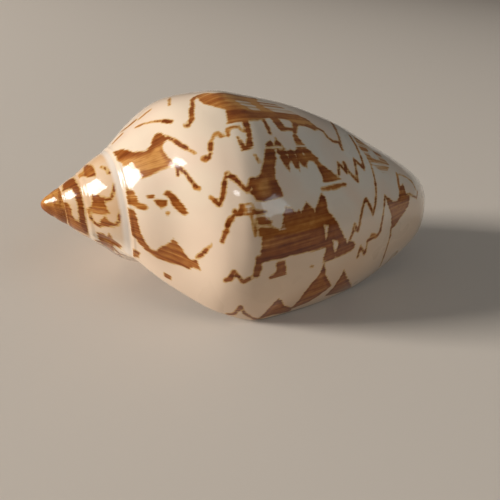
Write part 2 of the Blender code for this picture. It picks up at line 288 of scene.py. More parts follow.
def section(stage, down, skip=0.0):
    """Section of the whorl at each stage, for the places down: the curve through
    the profile, rounded at the shoulder, plus keel, knob and pillar folds along
    its normal, less the notch in front. The skip is a length left out at the
    suture. Gives the points, the normals and their shares of the length."""
    points = profile_points(stage)
    chords = np.linalg.norm(np.diff(points, axis=1), axis=2)
    length = chords.sum(axis=1, keepdims=True)
    knots = np.concatenate([np.zeros_like(length), np.cumsum(chords, axis=1)], axis=1) / length
    seam, shoulder, past_shoulder = knots[:, 1:2], knots[:, 2:3], knots[:, 3:4]
    low = seam + (down - ATTACH) / (1 - ATTACH) * (1 - seam)
    s = np.where(down < ATTACH, down / ATTACH * seam, low)
    skip = np.broadcast_to(skip, stage.shape)[:, None] / length
    s = skip + (1 - skip) * s
    column = stage[:, None]
    chord = points[:, 2] - points[:, 0]
    lift = np.stack([-chord[:, 1], chord[:, 0]], axis=1) / np.linalg.norm(chord, axis=1)[:, None]

    def rounded(s):
        """The curve, plus the round shoulder, hollow and full shoulder as bells
        along the lift, which stands square to the ramp."""
        part = s / shoulder
        near = bell(part, ROUND_MIDDLE, ROUND_WIDTH) * np.clip(part / ROUND_START, 0, 1)
        relief = sum(height * bell(part, middle, width)
                     for height, middle, width in (HOLLOW, FULL_SHOULDER))
        fuller = ROUND_SHOULDER * hump(column, *ROUND_SPAN) * near
        fuller = fuller + hump(column, *NEWEST_SPAN) * relief
        return curve_through(knots, points, s) + fuller[..., None] * lift[:, None]

    here = rounded(s)
    run = rounded(np.clip(s + SMALL_STEP, 0, 1)) - rounded(np.clip(s - SMALL_STEP, 0, 1))
    run /= np.linalg.norm(run, axis=2, keepdims=True)
    normal = np.stack([-run[..., 1], run[..., 0]], axis=2)
    crest = 0.5 * (shoulder + past_shoulder) + KEEL_SHIFT
    folds = sum(bell(s, place, PLAIT_WIDTH) for place in PLAIT_PLACES)
    raised = KEEL_HEIGHT * hump(column, *KEEL_SPAN) * bell(s, crest, KEEL_WIDTH)
    raised += KNOB_HEIGHT * bell(column, KNOB_STAGE, KNOB_LENGTH) * bell(s, crest, KNOB_WIDTH)
    raised += PLAIT_HEIGHT * onset(column, *PLAIT_SPAN) * folds * PLAIT_GROWTH ** (1 - column)
    raised += BEAD_HEIGHT * (1 - onset(column, *BEAD_END_SPAN)) * bell(s, BEAD_PLACE, BEAD_WIDTH)
    here = here + raised[..., None] * normal
    here[..., 1] -= drawn_in(column, s / seam)
    here[..., 0] -= NOTCH_DEPTH * onset(s, *NOTCH_SPAN) * bell(column, NOTCH_STAGE, NOTCH_LENGTH)
    return here, normal, s


def wound(stage, s, flat):
    """Turn the section about the axis by one full turn a stage, swept back a
    little in front. Gives points with x along the axis."""
    turn = -2 * np.pi * (stage[:, None] + LIP_SWEEP * onset(s, *LIP_SWEEP_SPAN))
    across, along = flat[..., 1], flat[..., 0]
    return np.stack([along, -across * np.sin(turn), across * np.cos(turn)], axis=-1)


def bulged(stage, across):
    """Strip of an older whorl: the straight line between its two sutures, plus a
    parabola of a small share of its width and the bead beside the suture."""
    top = suture(stage)[:, None]
    span = suture(stage - 1.0)[:, None] - top
    out = np.stack([-span[..., 1], span[..., 0]], axis=-1)
    v = across[None, :, None]
    fading = SPIRE_BEAD_GROWTH ** (-stage) * (1 - onset(stage, *SPIRE_BEAD_END_SPAN))
    bead = SPIRE_BEAD_HEIGHT * bell(v, SPIRE_BEAD_PLACE, SPIRE_BEAD_WIDTH)
    bead = bead / np.linalg.norm(span, axis=2, keepdims=True) * fading[:, None, None]
    strip = top + span * v + out * (SPIRE_BULGE * 4 * v * (1 - v) + bead)
    strip[..., 1] -= drawn_in(stage[:, None], across[None])
    return strip


points = []
facts = []
count = 0


def lay(places, stage=0.0, down=0.0, skin=0.0):
    """Add a grid of points to the sheet and give the grid of their numbers. Each
    keeps its stage, place down the whorl, share of outer skin, and the length of
    one turn and of one unit down, from the radius and the row spacing."""
    global count
    numbers = count + np.arange(places.shape[0] * places.shape[1]).reshape(places.shape[:2])
    around = 2 * np.pi * np.hypot(places[..., 1], places[..., 2])
    along = np.ones_like(around)
    if np.ndim(down):
        along = np.linalg.norm(np.gradient(places, down, axis=1), axis=2)
    stage = np.reshape(stage, (-1, 1))
    kept = np.stack(np.broadcast_arrays(stage, down, skin, around, along), axis=-1)
    points.append(places.reshape(-1, 3))
    facts.append(kept.reshape(-1, 5))
    count += numbers.size
    return numbers


# The last whorl, from the lip once round. Its last column ends on its first
# suture point, where the older whorl passes under the lip.
step = np.concatenate([np.arange(CLOSE_COLUMNS) * CLOSE_STEP,
                       CLOSE_COLUMNS * CLOSE_STEP + np.arange(WIDE_COLUMNS) * WIDE_STEP])
down = np.concatenate([
    ATTACH * (np.arange(SPIRE_ROWS) / SPIRE_ROWS) ** SPIRE_CROWDING,
    ATTACH + RIM_SHARE * np.arange(RIM_ROWS) / RIM_ROWS,
    ATTACH + RIM_SHARE + (1 - ATTACH - RIM_SHARE) * np.arange(LOW_ROWS + 1) / LOW_ROWS])
stages = np.concatenate([step, [1.0]])
flat, normal, s = section(stages, down)
outside = lay(wound(stages, s, flat), stages, down, 1.0)
outside[TURN, SPIRE_ROWS] = outside[0, 0]

# The spire: three more turns, at half the columns and rows.
half_step = step[::2]
half = len(half_step)
across = down[:SPIRE_ROWS:2] / ATTACH
stages = np.concatenate([half_step + k for k in range(1, SPIRE_TURNS)])
stages = np.append(stages, float(SPIRE_TURNS))[1:]
flat = bulged(stages, across)
spire = lay(wound(stages, np.zeros(flat.shape[:2]), flat), stages, across * ATTACH, 1.0)
spire = np.concatenate([outside[TURN:, 0:SPIRE_ROWS:2], spire])
foot = np.concatenate([outside[0:TURN:2, 0], spire[:len(spire) - half, 0]])
spire = np.concatenate([spire, foot[:, None]], axis=1)

# The pillar wall behind the mouth, where the sheet goes on from its first turn.
wall_columns = np.concatenate([np.arange(4, CLOSE_COLUMNS, 4),
                               np.arange(CLOSE_COLUMNS, CAVITY_COLUMN + 1, 2)])
wall_rows = np.arange(GLUE_ROW, LAST_ROW + 1, 2)
stages = step[wall_columns] + 1.0
flat, normal, s = section(stages, down[wall_rows])
pillar = lay(wound(stages, s, flat))
pillar = np.concatenate([outside[TURN:, wall_rows], pillar])

# The inner side of the last whorl's wall, from the lip back into the mouth. Its
# top row is moved onto the pillar wall, and its front end most of the way.
inner_columns = np.concatenate([[0], wall_columns])
inner_rows = np.arange(0, LAST_ROW + 1, 2)
stages = step[inner_columns]
shrink = WALL_GROWTH ** (-stages)
flat, normal, s = section(stages, down[inner_rows], skip=LINING_START * shrink)
edge_share = WALL_LIP_SHARE + (1 - WALL_LIP_SHARE) * ease(stages / WALL_LIP_STAGES)
thick = (WALL + (WALL_FRONT - WALL) * onset(s, *WALL_FRONT_SPAN)) * (shrink * edge_share)[:, None]
deep = onset(stages, CAVITY_END - CAVITY_CLOSING, CAVITY_CLOSING)[:, None]
flat = flat - normal * (thick + CAVITY_SWELL * deep * np.sin(np.pi * s))[..., None]
lining = wound(stages, s, flat)
so_far = np.concatenate(points)
close = FRONT_CLOSING * onset(stages, *FRONT_CLOSING_SPAN)[:, None]
top_shift = so_far[pillar[:, 0]] - lining[:, 0]
front_shift = (so_far[pillar[:, -1]] - lining[:, -1]) * close
rank = inner_rows / (LAST_ROW / RANKS)
fade_top = (1 - ease(rank / TOP_RANKS))[None, :, None]
fade_front = (1 - ease((rank[-1] - rank) / FRONT_RANKS))[None, :, None]
inner = lay(lining + top_shift[:, None] * fade_top + front_shift[:, None] * fade_front)
notch = int(np.where(inner_columns == NOTCH_COLUMN)[0][0])
bend = int(np.where(inner_columns == CLOSE_COLUMNS)[0][0])
inner[:, 0] = pillar[:, 0]
inner[notch + 1:, -1] = pillar[notch + 1:, -1]

# The rounded rim: down the lip, then along the front as far as the notch. It
# is half a circle, a little flattened, from the outer edge to the inner edge.
# It bulges away from the lip, and round the corner turns to the front.
COLUMNS_BACK, ROWS_BACK, CORNER_ROWS = 6, 4, 12
so_far = np.concatenate(points)


def filled_in(at, known, numbers):
    """Places of the numbered points, and straight between them, at all counts."""
    return np.stack([np.interp(at, known, so_far[numbers, k]) for k in range(3)], axis=1)


edge = np.concatenate([outside[0], outside[1:NOTCH_COLUMN + 1, LAST_ROW]])
front = np.arange(1, NOTCH_COLUMN + 1)
start = so_far[edge]
end = np.concatenate([filled_in(np.arange(LAST_ROW + 1), inner_rows, inner[0]),
                      filled_in(front, inner_columns[:notch + 1], inner[:notch + 1, -1])])
behind = np.concatenate([outside[COLUMNS_BACK], outside[front, LAST_ROW - ROWS_BACK]])
outward = start - so_far[behind]
outward /= np.linalg.norm(outward, axis=1)[:, None]
to_front = outward.copy()
to_front[:LAST_ROW + 1] = start[LAST_ROW] - start[LAST_ROW - ROWS_BACK]
turning = onset(np.arange(len(start)), LAST_ROW - CORNER_ROWS, 2 * CORNER_ROWS)[:, None]
outward = outward * (1 - turning) + turning * to_front
outward /= np.linalg.norm(outward, axis=1)[:, None]
part = np.arange(1, RIM_ROWS) / RIM_ROWS
over = 0.5 * (1 - np.cos(np.pi * part))[None, :, None]
bulge = 0.5 * RIM_FULLNESS * np.sin(np.pi * part)[None, :, None]
gap = np.linalg.norm(end - start, axis=1)[:, None, None]
rounding = start[:, None] + (end - start)[:, None] * over + outward[:, None] * gap * bulge
rim = lay(rounding, skin=1 - part)
rim[0] = outside[TURN, SPIRE_ROWS + 1:GLUE_ROW]
rim = np.concatenate([edge[:, None], rim], axis=1)

# Rings that round off the apex and the pillar's end, and their middle points.
so_far = np.concatenate(points)
apex_loop = np.concatenate([spire[-1 - half:, 0], spire[-1, 1:-1]])
shrinking = np.stack([APEX_RINGS ** 2, APEX_RINGS, APEX_RINGS], axis=1)
dome = so_far[apex_loop][None] * shrinking[:, None]
cap = np.concatenate([apex_loop[None], lay(dome, float(SPIRE_TURNS), 0.0, 1.0)])
tip_loop = np.concatenate([outside[NOTCH_COLUMN:, LAST_ROW], pillar[1:notch + 1, -1]])[::-1]
from_end = (so_far[tip_loop] - PILLAR_END) * PILLAR_RINGS[:, None, None]
tip = np.concatenate([tip_loop[None], lay(PILLAR_END + from_end)])
end_loop = np.concatenate([inner[-1], pillar[-1, -2:0:-1]])[::-1]
middle_places = np.stack([np.zeros(3), PILLAR_END, so_far[end_loop].mean(axis=0)])
middles = lay(middle_places[:, None], skin=np.array([[1.0], [0.0], [0.0]]))[:, 0]


def cells(grid):
    """Four-cornered faces between neighbouring columns and rows of a grid."""
    corners = [grid[:-1, :-1], grid[:-1, 1:], grid[1:, 1:], grid[1:, :-1]]
    return np.stack(corners, axis=-1).reshape(-1, 4)


def joined(coarse, fine):
    """Faces between a line of few points and a line with several points to each
    of its steps: two corners of the one, then the other's points back again."""
    many = (len(fine) - 1) // (len(coarse) - 1)
    k = np.arange(len(coarse) - 1)
    back = fine[(k[:, None] + 1) * many - np.arange(many + 1)]
    return np.concatenate([coarse[:-1, None], coarse[1:, None], back], axis=1)


def closed(rings, middle):
    """Rings of four-cornered faces round a loop, then triangles to the middle."""
    last = rings[-1]
    fan = np.stack([last, np.roll(last, -1), np.full(len(last), middle)], axis=1)
    return cells(np.concatenate([rings, rings[:, :1]], axis=1)), fan


BEND_ROW = LAST_ROW + CLOSE_COLUMNS
outer_parts = [
    cells(outside), joined(spire[1], outside[TURN, :SPIRE_ROWS + 1])[:, ::-1],
    outside[None, 0:3, 0], cells(spire[1:, :-1]),
    joined(spire[1:half + 1, -2], outside[2:, 0])[:, ::-1], cells(spire[half:, -2:]),
]
inner_parts = [
    *closed(cap, middles[0]), joined(pillar[1], outside[TURN, GLUE_ROW:])[:, ::-1],
    cells(pillar[1:]), cells(inner)[:, ::-1], cells(rim),
    joined(inner[0], rim[:LAST_ROW + 1, -1]),
    joined(inner[:bend + 1, -1], rim[LAST_ROW:BEND_ROW + 1, -1]),
    joined(inner[bend:notch + 1, -1], rim[BEND_ROW:, -1]),
    np.array([[*rim[-1], inner[notch, -1], pillar[notch, -1]]]),
    np.array([[pillar[notch, -1], inner[notch, -1], pillar[notch + 1, -1]]]),
    *closed(tip, middles[1]), *closed(end_loop[None], middles[2]),
]
outer_faces = sum(len(part) for part in outer_parts)

# Lay the shell down as it rests: turned and tilted, then set in the box of the
# solid that it dresses, which it fills exactly. From here on it is in metres.
places = np.concatenate(points)
facts = np.concatenate(facts)
places[:, 1:] += LEAN * (1 - ease(places[:, :1] / LEAN_END))
pose = np.array(Matrix.Rotation(REST_TILT, 3, "Y") @ Matrix.Rotation(REST_ROLL, 3, "X"))
angle_of = np.arctan2(-places[:, 1], places[:, 2])
places = places @ pose.T
used = np.unique(np.concatenate([part.ravel() for part in outer_parts + inner_parts]))
renumber = np.zeros(len(places), int)
renumber[used] = np.arange(len(used))
faces = [face for part in outer_parts + inner_parts for face in renumber[part].tolist()]
places, facts, angle_of = places[used], facts[used], angle_of[used]
low, high = (np.array(corner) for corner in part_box("volute_shell"))
small = places.min(axis=0)
places = low + (places - small) * (high - low) / (places.max(axis=0) - small)
stage, place_down, skin, around, along = facts.T

sheet = bpy.data.meshes.new("shell")
sheet.from_pydata(places.tolist(), [], faces)
sheet.polygons.foreach_set("use_smooth", np.ones(len(faces), bool))
sheet.update()
shell = put("shell", sheet)
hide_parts("volute_shell")
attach(shell, "root")

# The markings. Brown pigment laid down at the lip with the shell, so that it
# lies in the glaze: zigzag threads and tents that run down the whorl, streaked
# along the lines of growth. Each is set out by points in the picture.

# Threads: name, width in mm, darkness, points in the picture.
THREADS = (
    ("ramp, first", 0.48, 0.5, (136, 127), (143, 124), (154, 121.5), (162, 121)),
    ("ramp, first, end", 0.95, 1.0, (163, 121), (167, 121.3), (171, 121.5)),
    ("ramp, second", 0.88, 0.8, (185, 125.5), (188.5, 126), (190.5, 122.5), (192, 117),
     (191.5, 110), (193, 106), (192, 101), (195, 97)),
    ("ramp, upright dash", 0.48, 0.6, (169.6, 98), (169.3, 105)),
    ("spire side of the ramp, stain", 0.68, 0.3, (113, 143), (122, 134)),
    ("spire side of the ramp, stain above", 0.68, 0.6, (121, 132), (129, 126), (136, 120)),
    ("spire side of the ramp, third stain", 0.61, 0.3, (139, 119), (150, 110)),
    ("from the ramp patch", 0.88, 0.95, (167, 137.5), (174, 140.5), (180, 144.5), (186.5, 148.2)),
    ("from the ramp patch, thin", 0.41, 0.2, (186.5, 148.2), (191, 151), (195.5, 153.5)),
    ("over the shoulder", 0.82, 0.9, (204.3, 157.3), (208.4, 158.2), (210.3, 154), (210.2, 147.6),
     (211, 143)),
    ("over the shoulder, thin", 0.45, 0.2, (211, 143), (212.3, 138.5), (214.5, 134.2)),
    ("over the shoulder, head", 0.68, 0.2, (214.5, 134.2), (218, 133), (221, 136)),
    ("over the shoulder, amber foot", 0.80, 0.1, (202.5, 158.5), (206, 159.5)),
    ("below the ramp patch, amber foot", 0.75, 0.1, (195.5, 187.5), (198.5, 188.3)),
    ("shoulder spot", 0.61, 0.3, (227.5, 129.5), (228.5, 136)),
    ("back, arch by the tooth", 0.34, 0.1, (227.5, 130), (232, 127), (238, 127), (243, 131)),
    ("back, dash", 0.70, 0.8, (263, 119.5), (266.5, 125), (270, 133)),
    ("below the ramp patch", 0.88, 0.95, (176, 165.5), (178, 167.5), (183, 171), (185.5, 173),
     (188.5, 178), (192, 182.5), (196.5, 187.3)),
    ("below the ramp patch, spur", 0.68, 0.9, (177.3, 167), (178, 175)),
    ("keel zigzag, first", 0.50, 0.15, (210.5, 197), (215, 201)),
    ("keel zigzag", 0.88, 0.95, (214.5, 201), (219, 204.3), (222, 199.8), (223.6, 191),
     (224.7, 181)),
    ("keel zigzag, head", 0.41, 0.6, (224.7, 181), (226, 173), (228.5, 171.5), (229.5, 175)),
    ("keel zigzag, down", 0.95, 1.0, (230.2, 176), (236, 179.4), (243.5, 187.5), (247.5, 190.5),
     (250, 187), (252, 180)),
    ("knob zigzag, head", 0.82, 0.8, (242, 206), (241, 213.5), (238, 214.5), (235, 211),
     (234.3, 215), (232.5, 218.5), (229.5, 220)),
    ("knob zigzag", 0.95, 0.95, (229.5, 220), (228, 224), (226.7, 231), (222, 241)),
    ("ramp, low thread", 0.54, 0.3, (211.5, 245), (207, 249)),
    ("ramp, low thread, end", 0.75, 0.85, (207, 249), (202, 254.6), (196.5, 257.7)),
    ("knob, right thread", 0.82, 0.85, (253, 211), (258, 213), (264.5, 212)),
    ("knob, right thread, head", 0.54, 0.7, (253, 211), (252, 206)),
    ("knob, hair", 0.40, 0.6, (250, 212), (252.5, 220), (254.4, 228)),
    ("knob, hair, end", 0.25, 0.35, (254.4, 228), (255.5, 236)),
    ("small upright", 0.48, 0.45, (255, 155), (259, 162)),
    ("low wave", 0.95, 0.9, (225, 281), (230, 279), (234, 271.5), (239, 277), (243, 282),
     (249, 279)),
    ("lowest wave", 0.82, 0.9, (227, 316), (234, 314), (241, 306.5), (244, 313), (251, 317),
     (257, 320)),
    ("upper side, first", 0.61, 0.8, (314, 126), (319, 129), (323, 131), (328, 138), (334, 142),
     (338, 142), (342, 149)),
    ("upper side, branch", 0.61, 0.8, (341, 145), (339, 138), (336, 130), (330, 121)),
    ("upper side, second", 0.61, 0.85, (350, 136), (357, 148), (362, 160), (364, 169), (354, 159),
     (357.5, 181), (349, 172), (344, 163), (347, 173), (338, 163), (339, 174)),
    ("front side, first", 0.68, 0.85, (368, 158), (371, 165), (374, 176), (376, 189), (376, 199),
     (373, 215), (370, 206), (366, 199), (363, 206), (361, 217), (358, 230.5), (354.5, 224),
     (352, 235), (349, 242)),
    ("front side, second", 0.68, 0.85, (385, 196), (384, 208), (382, 221), (380, 232),
     (376.6, 236), (372, 238), (367.5, 241), (366, 249), (364.4, 253.5), (360.6, 247),
     (357.5, 257)),
    ("front side, third", 0.61, 0.85, (391, 228), (390.2, 236.4), (387.8, 244.4), (384.6, 254),
     (379.8, 266)),
    ("front, olive streak", 1.00, 0.30, (397, 174), (398.5, 184), (400.5, 195)),
    ("front, far streak", 0.30, 0.15, (399, 174), (406, 177), (412, 182), (415.5, 189)),
    ("front side, second, amber head", 1.00, 0.25, (371.5, 235.5), (376, 236.5)),
    ("front, small zigzag", 0.54, 0.8, (409.5, 194), (416.6, 198), (417.4, 191.6)),
    ("front, dot", 0.61, 0.5, (396, 253), (398, 257)),
    ("great patch, tail", 1.50, 0.85, (259.5, 259), (258, 268), (256.5, 274.5)),
    ("upper stripe, front", 0.75, 0.6, (322, 189), (333, 187.5), (345, 184.5)),
    ("spire, first zigzag", 0.68, 0.8, (114.5, 184), (114, 190), (112, 197.5), (107.5, 199.6),
     (104, 198.5)),
    ("spire, second zigzag", 0.68, 0.8, (88, 211), (91, 218), (94.5, 222.5), (99, 226)),
    ("spire, second zigzag, end", 0.68, 0.8, (117.5, 224), (119.5, 219), (120.5, 211)),
    ("spire, upper dash", 0.60, 0.8, (101.5, 167), (105, 168), (109.5, 173)),
    ("tip, dark streak", 0.60, 0.9, (48, 190), (49.5, 197)),
)
# Patches: name, darkness, share of amber in the middle, points in the picture.
PATCHES = (
    ("ramp, great", 0.12, 0.0, (113.5, 152), (121.5, 149.5), (134, 152.5), (145.4, 151.4),
     (150, 146.5), (153.3, 138.5), (155.6, 134.4), (160, 133), (165.8, 136.3), (169, 139),
     (164.6, 142), (161.8, 145.4), (162.4, 150), (166.9, 156.7), (172.6, 161.2), (177.5, 166.5),
     (173.5, 164.8), (168, 166.9), (161.2, 169.5), (154.4, 172.8), (145.4, 177), (142, 178),
     (140.2, 174.8), (140, 169), (134, 168), (123.8, 165), (118, 160)),
    ("ramp, slant", 0.84, 0.2, (164, 193), (167, 190.7), (170.3, 191.8), (177, 197.5),
     (183.9, 205.4), (188.4, 213.2), (185, 215), (181.6, 214.5), (173.7, 206.6), (169, 197.8)),
    ("ramp, small", 0.8, 0.4, (153.3, 200), (160, 199.5), (167, 200.3), (165.8, 206), (161, 208.6),
     (157, 205)),
    ("ramp, speck", 0.7, 0.3, (146.5, 196), (153.3, 195), (153.3, 198), (148, 198.6)),
    ("ramp, lower speck", 0.3, 0.0, (166, 213), (169, 212.5), (169, 214.5), (166.5, 214.8)),
    ("suture, tail", 0.6, 0.2, (126, 188.6), (133, 190.7), (136.3, 196.4), (138.5, 202),
     (145.4, 204.9), (148.8, 207.4), (144.2, 209.4), (137.4, 207.7), (131.7, 205), (128, 204)),
    ("ramp, low band", 0.80, 0.25, (127.5, 208), (134, 210), (136.4, 217), (138, 225),
     (140.8, 233.8), (144.2, 240.6), (150, 248.5), (156.7, 251.5), (160, 248.5), (168, 244),
     (173.7, 239.3), (178.2, 244), (184, 253), (190.7, 259.9), (196.4, 259.9), (200, 269.5),
     (193, 267), (189, 268.5), (179.4, 265), (168, 262), (156.7, 257.6), (145.4, 249.9),
     (137.4, 240.8), (131, 234), (129, 222)),
    ("suture, low", 0.6, 0.2, (129.5, 247.5), (135, 250), (139.5, 253), (138.5, 257.4),
     (133, 255.5)),
    ("ramp, lowest speck", 0.8, 0.3, (163.5, 272), (171, 276), (171, 279.5), (165, 277)),
    ("back, band", 0.42, 0.5, (196, 95.5), (200, 101), (204, 104), (216, 107), (226, 109.5),
     (227, 116), (227.5, 124), (232, 123), (238, 121.5), (244, 121), (250, 120.5), (262, 119.5),
     (268, 118), (277, 118), (283, 119), (290, 120.5), (292.5, 123), (298, 125), (305, 126),
     (312, 129), (318, 128), (306, 119), (292, 112), (276, 105), (255, 98.5), (235, 95),
     (215, 93.5), (203, 93.5)),
    ("back, diagonal", 0.75, 0.1, (268, 117), (273, 121), (277, 127), (281, 131), (293, 130.5),
     (293, 128), (285, 127), (280, 121), (277, 117)),
    ("back, tooth", 0.85, 0.1, (236, 137), (239, 143), (242, 150.5), (249, 149), (253, 147),
     (252, 138), (250, 128), (247, 118), (241, 118), (245, 127), (247, 135), (247, 142),
     (245, 146), (241.5, 141), (238, 136)),
    ("back, tongue", 0.65, 0.3, (292, 116), (300, 116.5), (308, 121), (316, 126), (319, 129),
     (314, 130), (305, 126), (299, 124.5), (296.5, 128), (295.5, 135), (299, 139), (305, 146),
     (297, 145), (294.5, 140), (293, 131)),
    ("row, small tent", 0.95, 0.1, (266, 146), (270, 139.5), (273.8, 146)),
    ("row, second small tent", 0.95, 0.1, (274, 146), (276, 138.6), (282.5, 146)),
    ("keel, upright band", 0.9, 0.0, (266, 149), (274, 150), (276, 157), (274, 166), (275, 176),
     (279, 187), (284, 197), (274, 199), (264, 201), (257, 200), (252, 194), (251.5, 186),
     (252.5, 178), (257, 179), (261, 173), (263, 165), (265, 153)),
    ("upper row", 0.85, 0.1, (276.5, 149), (281, 150.5), (284, 148.5), (287, 152.5), (290.5, 149),
     (294, 152.5), (298, 147.5), (304, 146.5), (309, 150), (314, 155), (320, 163), (326, 168),
     (333, 173), (341, 179), (331, 181), (323.6, 181.5), (321.5, 174), (318, 167), (314, 162),
     (309, 160.5), (306, 163), (308, 168.5), (303.5, 166), (300, 161.5), (298, 163), (300, 171),
     (295.5, 167.5), (291.5, 161.5), (289, 163), (290, 171.5), (285.5, 167), (281.5, 159),
     (278, 153)),
    ("front, upper patch", 0.7, 0.75, (350, 133), (362.5, 142.5), (371, 149), (380, 155),
     (389, 165), (387.5, 171), (383, 173.5), (379, 169), (371, 164), (368, 158), (360, 148)),
    ("front, crescent", 0.85, 0.35, (385, 196), (389, 198), (393, 202), (396.5, 201), (399, 198),
     (400, 188), (403, 184), (406, 194), (409.5, 195), (409, 203), (404, 213), (396.5, 223),
     (391.5, 229), (391, 214), (389, 208), (387, 201)),
    ("great patch", 0.97, 0.20, (285, 207), (292, 208.5), (296, 214.5), (299, 210), (301.6, 215),
     (306, 203), (311, 207), (315, 212.6), (320.7, 194), (324.5, 197), (327, 206), (329, 213),
     (334, 218), (340, 228), (344.6, 237), (347.5, 244), (351, 240), (354, 242), (354.7, 249),
     (344.6, 254), (334, 258.5), (322.6, 262), (326, 247), (311, 251), (297, 254), (282.5, 258.5),
     (268, 261), (260, 262.5), (262, 242), (263, 234), (281, 232.5), (284, 219)),
    ("great patch, left part", 0.60, 0.1, (257, 217.5), (266, 217), (273, 221), (271, 226),
     (277, 229), (282, 233.5), (285, 236), (260, 236)),
    ("knob, stain", 0.2, 0.0, (244.5, 205), (250, 204), (252, 213), (246.5, 215)),
    ("great patch, hanging", 0.85, 0.3, (276, 262), (285, 260), (286.5, 274), (280, 277),
     (270, 279), (270, 277), (277, 272)),
    ("great patch, spot", 0.5, 0.5, (310, 264.5), (313, 264.5), (313, 266.5), (310.5, 266.5)),
    ("low tent", 0.9, 0.5, (257.5, 320), (270, 307), (278.6, 298.5), (284, 305), (292, 308),
     (290, 311), (273, 314.5)),
    ("low tent, second", 0.9, 0.5, (292, 307.5), (302, 296), (311, 284), (321, 272), (324, 263),
     (326, 276), (331, 286), (326, 290), (310, 301), (294, 308)),
    ("low tent, third", 0.9, 0.4, (325, 296), (332, 289), (338, 281), (344, 270), (347.5, 279),
     (352, 287), (340, 292)),
    ("spire, upper patch", 0.75, 0.3, (84, 166), (90, 165), (93.5, 167), (96, 176), (88, 177.5),
     (83.5, 176)),
    ("spire, upper stain", 0.25, 0.6, (74.5, 178), (80, 173.5), (84, 171), (83.5, 176), (78, 179)),
    ("spire, middle patch", 0.85, 0.1, (92.5, 195), (99, 195), (104, 199.5), (105, 205),
     (109, 213), (98, 214.5), (88.5, 212), (87, 209), (92, 207)),
    ("spire, small tent", 0.7, 0.2, (97.5, 226), (101, 221), (103, 216.5), (106, 216.5),
     (109, 221), (113, 224), (118, 223.5), (117, 226), (105, 226.5)),
    ("spire, lower patch", 0.7, 0.3, (97, 232), (103, 233.5), (107.5, 237), (109.5, 233),
     (113, 239.5), (121.5, 246), (121, 248), (113, 244.5), (114, 252), (107, 250), (100, 241)),
    ("second whorl, dark band", 0.95, 0.0, (62, 184), (68, 180), (73, 178), (76, 181.5), (79, 188),
     (82, 198), (84, 209), (85.5, 220), (88.5, 234), (84, 231), (80, 228), (79, 215), (77.5, 203),
     (74, 194), (71.5, 188), (66, 189.5), (62.5, 191)),
    ("second whorl, lower", 0.7, 0.3, (63.5, 203), (67.5, 203.5), (71, 208), (71.5, 214),
     (74.5, 219), (79, 222), (84, 226), (88, 235), (78, 230), (70, 227), (66.5, 218)),
    ("tip, lower", 0.55, 0.4, (44.5, 204), (50, 202.5), (56, 203.5), (60.5, 202), (62.5, 210),
     (65, 219), (66, 226), (57, 223.5), (50, 218.5), (45.5, 212)),
    ("tip, edge band", 0.6, 0.2, (56.5, 187), (60, 184), (61, 192), (62, 203), (59, 206),
     (57.5, 196)),
    ("tip, upper stain", 0.35, 0.3, (46, 192), (50.5, 189.5), (52.5, 192), (50, 196), (46, 198)),
)
# Gaps left in a patch: name, points in the picture.
CLEAR = (
    ("great patch, slot", (257, 225.2), (270, 225.4), (276, 228.4), (257, 228.2)),
    ("front, upper patch, gap", (366, 148), (372, 150), (380, 160), (377, 161), (370, 156)),
    ("great patch, gap", (323.6, 225), (329, 225), (328.5, 232), (326, 240)),
    ("great patch, lower gap", (332, 239), (339, 241), (337.5, 248), (335, 257)),
)
